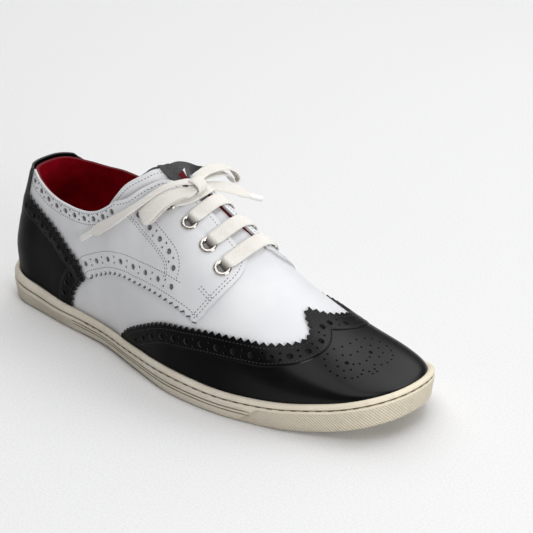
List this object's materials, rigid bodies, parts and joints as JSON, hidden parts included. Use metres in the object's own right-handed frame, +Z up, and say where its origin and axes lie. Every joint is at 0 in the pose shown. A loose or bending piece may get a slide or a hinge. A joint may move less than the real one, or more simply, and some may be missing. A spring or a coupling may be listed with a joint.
{
  "type": "wingtip shoe",
  "caption": "Low lace-up wingtip shoe for a right foot: hollow black-and-white leather upper with pinked overlays, tongue and flat lace bow on a moulded rubber cup sole.",
  "frame": {"origin": "on the floor under the middle of the shoe's box", "axes": "+X to the toe, +Y to the inner (medial) side of the foot, +Z up"},
  "size_m": [0.3, 0.1037, 0.1087],
  "materials": {
    "cream_rubber": "matt, yellowed at the toe",
    "red_lining": "napped",
    "white_leather": "smooth, semi-matt",
    "black_leather": "semi-gloss",
    "nickel": "plated",
    "cotton_lace": "flat weave"
  },
  "bodies": {
    "root": {"sole": "cream_rubber", "insole": "red_lining", "upper": "white_leather", "quarter_lateral": "white_leather", "quarter_medial": "white_leather", "tongue": "white_leather", "wing_cap": "black_leather", "heel_counter": "black_leather", "eyelet_lateral_1": "nickel", "eyelet_lateral_2": "nickel", "eyelet_lateral_3": "nickel", "eyelet_lateral_4": "nickel", "eyelet_medial_1": "nickel", "eyelet_medial_2": "nickel", "eyelet_medial_3": "nickel", "eyelet_medial_4": "nickel", "lace_bar_1": "cotton_lace", "lace_bar_2": "cotton_lace", "lace_bar_3": "cotton_lace", "lace_bar_4": "cotton_lace", "lace_knot": "cotton_lace", "lace_loop_lateral": "cotton_lace", "lace_loop_medial": "cotton_lace", "lace_end_lateral": "cotton_lace", "lace_end_medial": "cotton_lace"}
  },
  "joints": []
}
